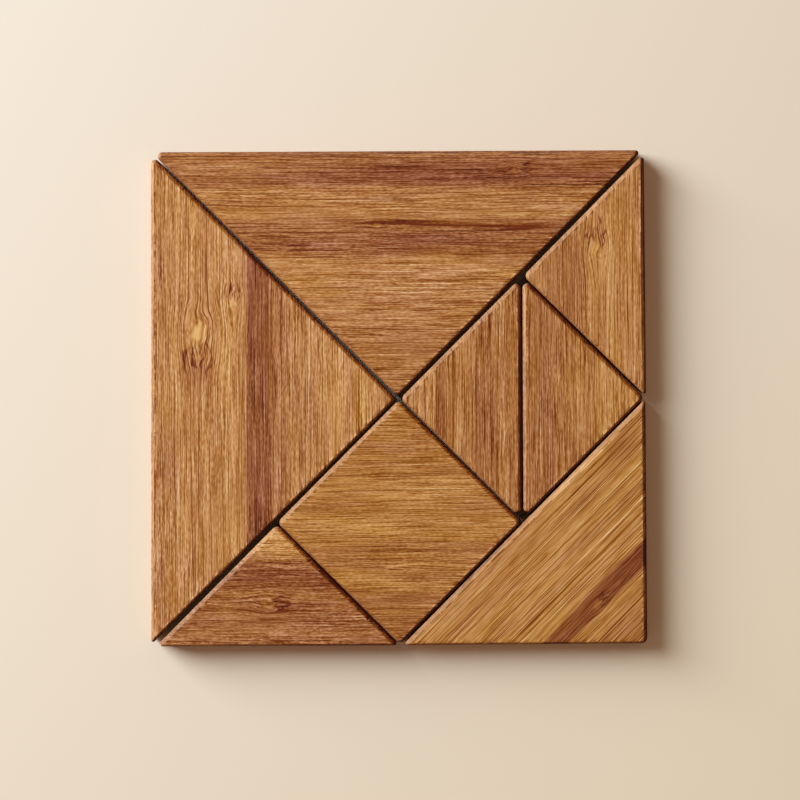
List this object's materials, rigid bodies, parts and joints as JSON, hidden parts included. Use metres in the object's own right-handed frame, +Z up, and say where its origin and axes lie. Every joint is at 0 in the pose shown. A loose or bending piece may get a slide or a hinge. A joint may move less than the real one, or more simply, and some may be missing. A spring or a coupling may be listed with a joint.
{
  "type": "tangram puzzle",
  "caption": "Loose flat triangles and a square of brown caramelised bamboo with softly rounded edges, laid together as a square tangram.",
  "frame": {"origin": "under the middle of the laid square, on the plane that the tans rest on", "axes": "+Z up out of the tans' upper faces; +X to the right and +Y to the top of the layout, along the square's sides"},
  "size_m": [0.1, 0.0996, 0.008],
  "materials": {
    "bamboo": "sanded and oiled, satin"
  },
  "bodies": {
    "large_triangle_top": {"large_triangle_top": "bamboo"},
    "large_triangle_left": {"large_triangle_left": "bamboo"},
    "medium_triangle": {"medium_triangle": "bamboo"},
    "square": {"square": "bamboo"},
    "small_triangle_centre": {"small_triangle_centre": "bamboo"},
    "small_triangle_right": {"small_triangle_right": "bamboo"},
    "small_triangle_top_right": {"small_triangle_top_right": "bamboo"},
    "small_triangle_bottom_left": {"small_triangle_bottom_left": "bamboo"}
  },
  "joints": [
    {"name": "large_triangle_left_slide", "type": "slide", "parent": "large_triangle_top", "child": "large_triangle_left", "axis": [-1, 0, 0], "range_m": [0, 0.055]},
    {"name": "medium_triangle_slide", "type": "slide", "parent": "large_triangle_top", "child": "medium_triangle", "axis": [0.7071, -0.7071, 0], "range_m": [0, 0.04]},
    {"name": "small_triangle_top_right_slide", "type": "slide", "parent": "large_triangle_top", "child": "small_triangle_top_right", "axis": [1, 0, 0], "range_m": [0, 0.03]},
    {"name": "small_triangle_bottom_left_slide", "type": "slide", "parent": "large_triangle_top", "child": "small_triangle_bottom_left", "axis": [0, -1, 0], "range_m": [0, 0.03]},
    {"name": "square_lift", "type": "slide", "parent": "large_triangle_top", "child": "square", "axis": [0, 0, 1], "range_m": [0, 0.03]},
    {"name": "small_triangle_centre_lift", "type": "slide", "parent": "large_triangle_top", "child": "small_triangle_centre", "axis": [0, 0, 1], "range_m": [0, 0.03]},
    {"name": "small_triangle_right_lift", "type": "slide", "parent": "large_triangle_top", "child": "small_triangle_right", "axis": [0, 0, 1], "range_m": [0, 0.03]}
  ]
}
